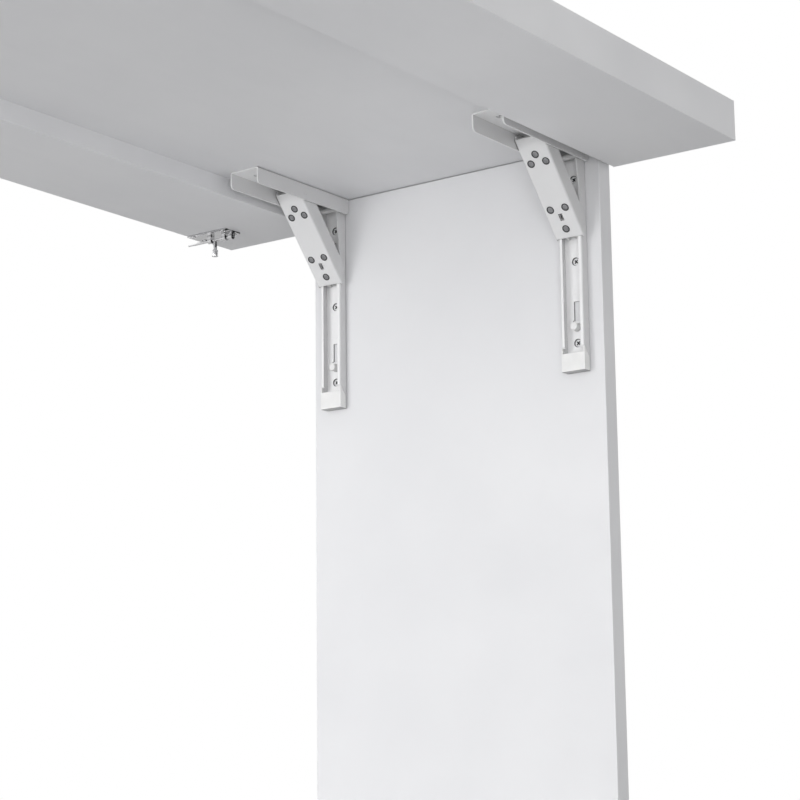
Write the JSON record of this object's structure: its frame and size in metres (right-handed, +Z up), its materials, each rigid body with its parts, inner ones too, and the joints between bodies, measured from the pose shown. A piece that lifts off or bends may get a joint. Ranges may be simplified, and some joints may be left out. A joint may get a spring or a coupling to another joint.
{
  "type": "folding secretary desk",
  "caption": "Long narrow desk with a tray-backed top and two flat leg panels that fold under it on sliding steel brackets, with slide bolts under the rear edge.",
  "frame": {"origin": "on the floor under the middle of the whole desk's bounding box, with both bolts shot", "axes": "+X along the desk to the right-hand end, -Y towards the front edge, +Z up"},
  "size_m": [1.5, 0.578, 0.74],
  "materials": {
    "melamine_board": "white melamine-faced particle board, satin",
    "edge_banding": "white PVC edge banding, satin",
    "beech_dowel": "plain beech",
    "white_steel": "white powder coat on pressed steel",
    "white_pin": "white powder coat over pin ends",
    "bare_rivet": "dull zinc tubular rivet",
    "white_screw": "white coated screw head",
    "white_plastic": "moulded white nylon",
    "glide_plastic": "moulded pale plastic",
    "spring_steel": "bare steel",
    "bolt_chrome": "bright chrome plate"
  },
  "bodies": {
    "top": {"top_board": "melamine_board", "front_rail": "melamine_board", "rear_rail": "melamine_board", "long_edge_bands": "edge_banding", "end_bands": "edge_banding", "rail_dowels": "beech_dowel", "arm_screws": "white_screw", "bolt_screws": "bolt_chrome", "corner_pins": "white_pin", "strut_pivot_rivets": "white_pin", "right_bolt_plate": "bolt_chrome", "left_bolt_plate": "bolt_chrome", "front_right_bracket_arm": "white_steel", "front_left_bracket_arm": "white_steel", "rear_right_bracket_arm": "white_steel", "rear_left_bracket_arm": "white_steel"},
    "right_leg": {"right_leg_panel": "melamine_board", "right_leg_edge_band": "edge_banding", "right_leg_glides": "glide_plastic", "right_channel_screws": "white_screw", "right_channel_end_caps": "white_plastic", "right_button_springs": "spring_steel", "front_right_leg_channel": "white_steel", "rear_right_leg_channel": "white_steel"},
    "left_leg": {"left_leg_panel": "melamine_board", "left_leg_edge_band": "edge_banding", "left_leg_glides": "glide_plastic", "left_channel_screws": "white_screw", "left_channel_end_caps": "white_plastic", "left_button_springs": "spring_steel", "front_left_leg_channel": "white_steel", "rear_left_leg_channel": "white_steel"},
    "front_right_strut": {"front_right_strut": "white_steel", "front_right_strut_lugs": "white_steel", "front_right_strut_rivets": "bare_rivet", "front_right_shoe_pin": "spring_steel"},
    "front_right_shoe": {"front_right_shoe": "white_plastic"},
    "front_right_button": {"front_right_detent_button": "white_plastic"},
    "rear_right_strut": {"rear_right_strut": "white_steel", "rear_right_strut_lugs": "white_steel", "rear_right_strut_rivets": "bare_rivet", "rear_right_shoe_pin": "spring_steel"},
    "rear_right_shoe": {"rear_right_shoe": "white_plastic"},
    "rear_right_button": {"rear_right_detent_button": "white_plastic"},
    "front_left_strut": {"front_left_strut": "white_steel", "front_left_strut_lugs": "white_steel", "front_left_strut_rivets": "bare_rivet", "front_left_shoe_pin": "spring_steel"},
    "front_left_shoe": {"front_left_shoe": "white_plastic"},
    "front_left_button": {"front_left_detent_button": "white_plastic"},
    "rear_left_strut": {"rear_left_strut": "white_steel", "rear_left_strut_lugs": "white_steel", "rear_left_strut_rivets": "bare_rivet", "rear_left_shoe_pin": "spring_steel"},
    "rear_left_shoe": {"rear_left_shoe": "white_plastic"},
    "rear_left_button": {"rear_left_detent_button": "white_plastic"},
    "right_bolt": {"right_bolt_rod": "bolt_chrome", "right_bolt_knob": "bolt_chrome"},
    "left_bolt": {"left_bolt_rod": "bolt_chrome", "left_bolt_knob": "bolt_chrome"}
  },
  "joints": [
    {"name": "right_leg_fold", "type": "hinge", "parent": "top", "child": "right_leg", "pos_m": [0.7198, -0.1385, 0.7115], "axis": [0, 1, 0], "range_deg": [0, 90]},
    {"name": "left_leg_fold", "type": "hinge", "parent": "top", "child": "left_leg", "pos_m": [-0.7198, -0.1385, 0.7115], "axis": [0, -1, 0], "range_deg": [0, 90]},
    {"name": "front_right_strut_swing", "type": "hinge", "parent": "top", "child": "front_right_strut", "pos_m": [0.6628, -0.1385, 0.713], "axis": [0, 1, 0], "range_deg": [0, 128.92]},
    {"name": "front_right_shoe_turn", "type": "hinge", "parent": "front_right_strut", "child": "front_right_shoe", "pos_m": [0.7233, -0.1385, 0.646], "axis": [0, 1, 0], "range_deg": [-38.92, 0]},
    {"name": "front_right_button_press", "type": "slide", "parent": "right_leg", "child": "front_right_button", "axis": [1, 0, 0], "range_m": [0, 0.004], "stiffness_N_per_m": 400},
    {"name": "rear_right_strut_swing", "type": "hinge", "parent": "top", "child": "rear_right_strut", "pos_m": [0.6628, 0.1305, 0.713], "axis": [0, 1, 0], "range_deg": [0, 128.92]},
    {"name": "rear_right_shoe_turn", "type": "hinge", "parent": "rear_right_strut", "child": "rear_right_shoe", "pos_m": [0.7233, 0.1305, 0.646], "axis": [0, 1, 0], "range_deg": [-38.92, 0]},
    {"name": "rear_right_button_press", "type": "slide", "parent": "right_leg", "child": "rear_right_button", "axis": [1, 0, 0], "range_m": [0, 0.004], "stiffness_N_per_m": 400},
    {"name": "front_left_strut_swing", "type": "hinge", "parent": "top", "child": "front_left_strut", "pos_m": [-0.6628, -0.1385, 0.713], "axis": [0, -1, 0], "range_deg": [0, 128.92]},
    {"name": "front_left_shoe_turn", "type": "hinge", "parent": "front_left_strut", "child": "front_left_shoe", "pos_m": [-0.7233, -0.1385, 0.646], "axis": [0, -1, 0], "range_deg": [-38.92, 0]},
    {"name": "front_left_button_press", "type": "slide", "parent": "left_leg", "child": "front_left_button", "axis": [-1, 0, 0], "range_m": [0, 0.004], "stiffness_N_per_m": 400},
    {"name": "rear_left_strut_swing", "type": "hinge", "parent": "top", "child": "rear_left_strut", "pos_m": [-0.6628, 0.1305, 0.713], "axis": [0, -1, 0], "range_deg": [0, 128.92]},
    {"name": "rear_left_shoe_turn", "type": "hinge", "parent": "rear_left_strut", "child": "rear_left_shoe", "pos_m": [-0.7233, 0.1305, 0.646], "axis": [0, -1, 0], "range_deg": [-38.92, 0]},
    {"name": "rear_left_button_press", "type": "slide", "parent": "left_leg", "child": "rear_left_button", "axis": [-1, 0, 0], "range_m": [0, 0.004], "stiffness_N_per_m": 400},
    {"name": "right_bolt_slide", "type": "slide", "parent": "top", "child": "right_bolt", "axis": [0, -1, 0], "range_m": [0, 0.008]},
    {"name": "left_bolt_slide", "type": "slide", "parent": "top", "child": "left_bolt", "axis": [0, -1, 0], "range_m": [0, 0.008]}
  ],
  "couplings": [
    {"joint": "front_right_strut_swing", "follows": "right_leg_fold", "ratio": 1.4323},
    {"joint": "front_right_shoe_turn", "follows": "right_leg_fold", "ratio": -0.43228},
    {"joint": "rear_right_strut_swing", "follows": "right_leg_fold", "ratio": 1.4323},
    {"joint": "rear_right_shoe_turn", "follows": "right_leg_fold", "ratio": -0.43228},
    {"joint": "front_left_strut_swing", "follows": "left_leg_fold", "ratio": 1.4323},
    {"joint": "front_left_shoe_turn", "follows": "left_leg_fold", "ratio": -0.43228},
    {"joint": "rear_left_strut_swing", "follows": "left_leg_fold", "ratio": 1.4323},
    {"joint": "rear_left_shoe_turn", "follows": "left_leg_fold", "ratio": -0.43228}
  ]
}
